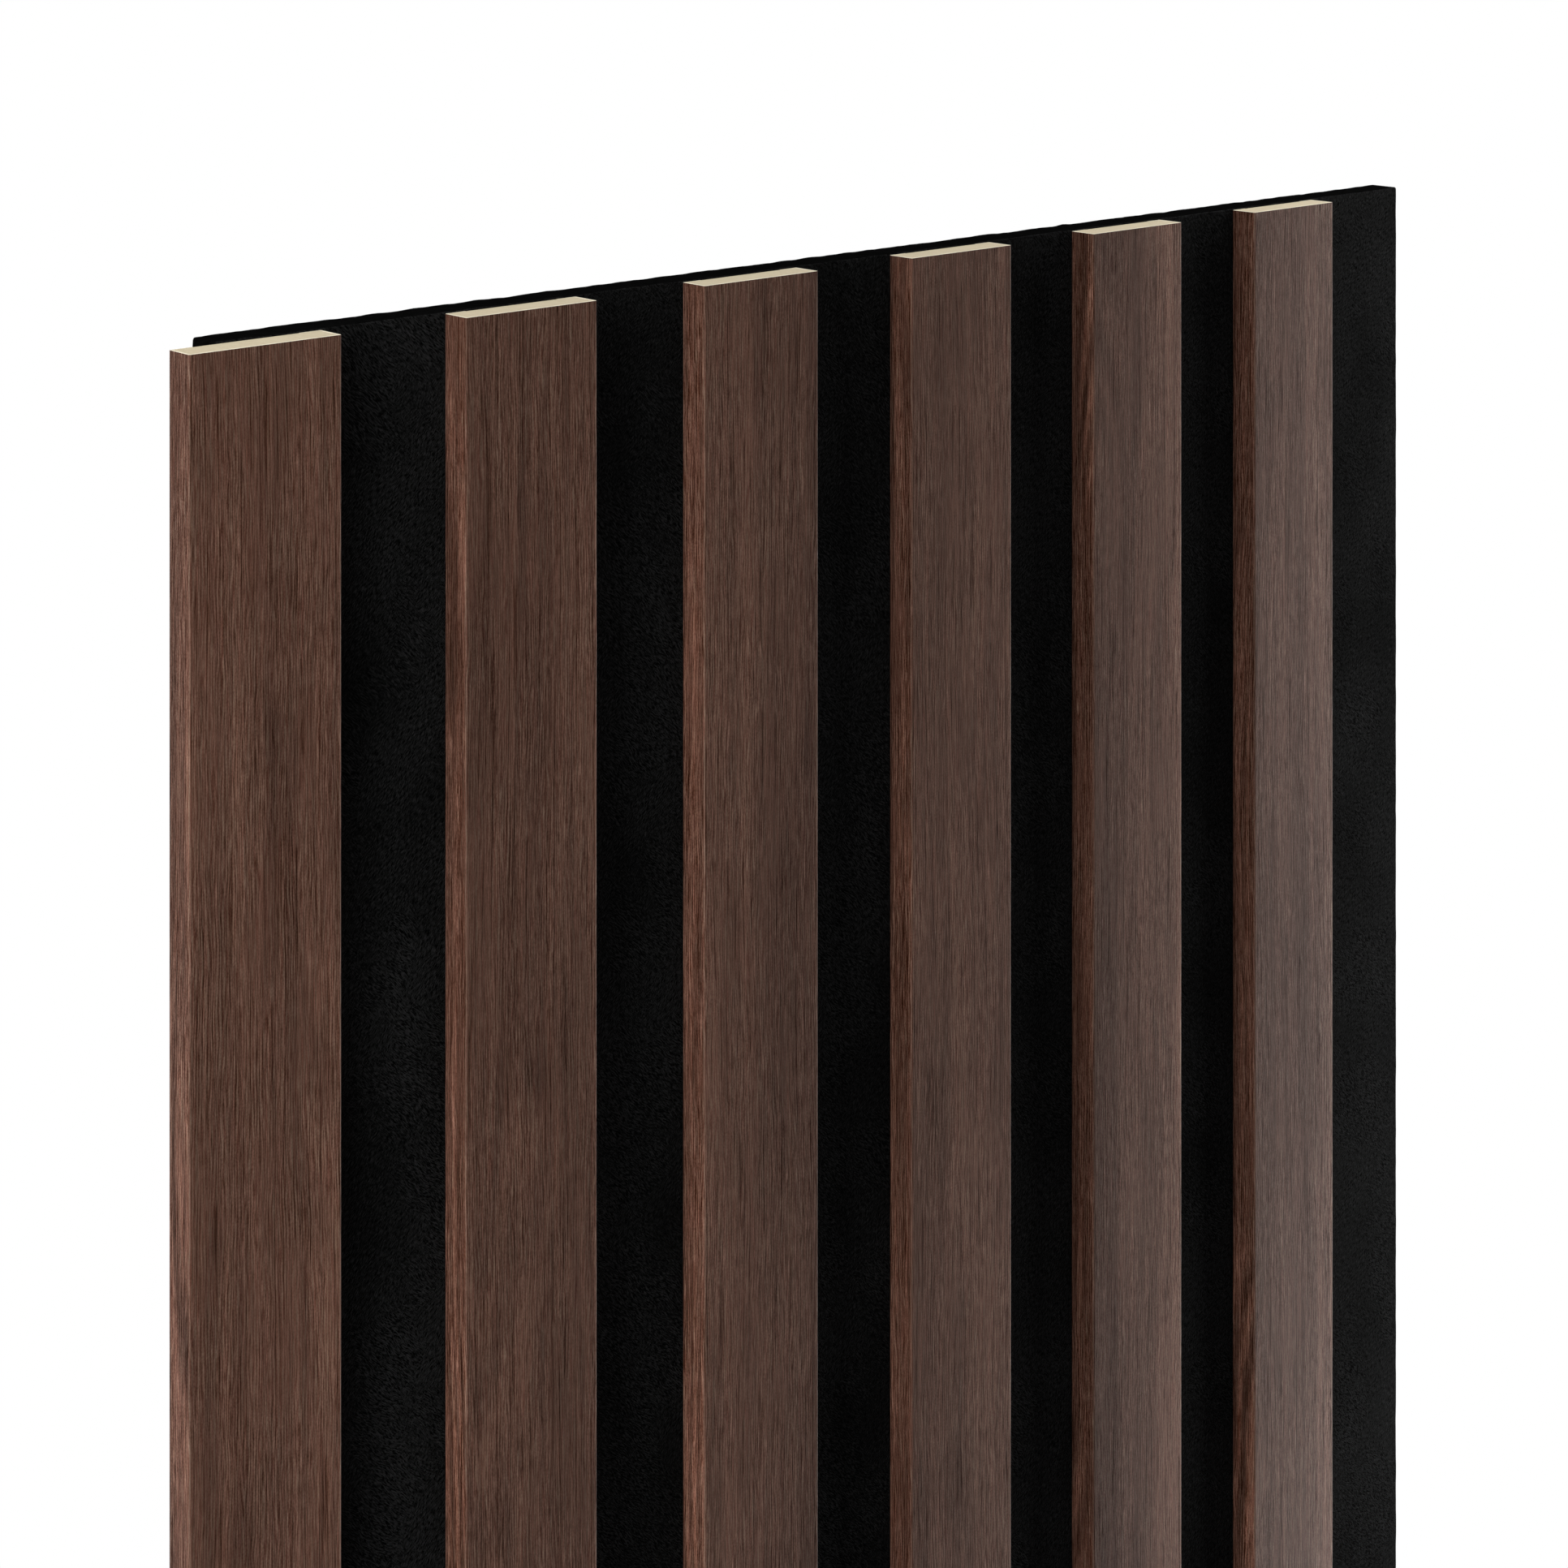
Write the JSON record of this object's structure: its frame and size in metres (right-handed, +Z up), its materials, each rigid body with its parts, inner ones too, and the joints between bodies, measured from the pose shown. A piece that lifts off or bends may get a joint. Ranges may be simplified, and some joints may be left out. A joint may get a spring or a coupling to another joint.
{
  "type": "acoustic slat wall panel",
  "caption": "Upright walnut-look slats with fibreboard cores, glued in an even row on a black felt board; the first slat overhangs to cover the joint between panels.",
  "frame": {"origin": "middle of the felt's flat back face, which lies against the wall", "axes": "+X to the right as seen from the room, +Y into the wall, +Z up along the slats"},
  "size_m": [0.3076, 0.0121, 1.2],
  "materials": {
    "walnut_film": "satin printed walnut grain",
    "fibreboard": "sawn fibreboard, pale and finely speckled",
    "felt": "pressed black polyester felt, matted fibres",
    "glue": "set hot-melt glue"
  },
  "bodies": {
    "root": {"felt_backing": "felt", "slat_core_1": "fibreboard", "slat_film_1": "walnut_film", "glue_line_1": "glue", "slat_core_2": "fibreboard", "slat_film_2": "walnut_film", "glue_line_2": "glue", "slat_core_3": "fibreboard", "slat_film_3": "walnut_film", "glue_line_3": "glue", "slat_core_4": "fibreboard", "slat_film_4": "walnut_film", "glue_line_4": "glue", "slat_core_5": "fibreboard", "slat_film_5": "walnut_film", "glue_line_5": "glue", "slat_core_6": "fibreboard", "slat_film_6": "walnut_film", "glue_line_6": "glue"}
  },
  "joints": []
}
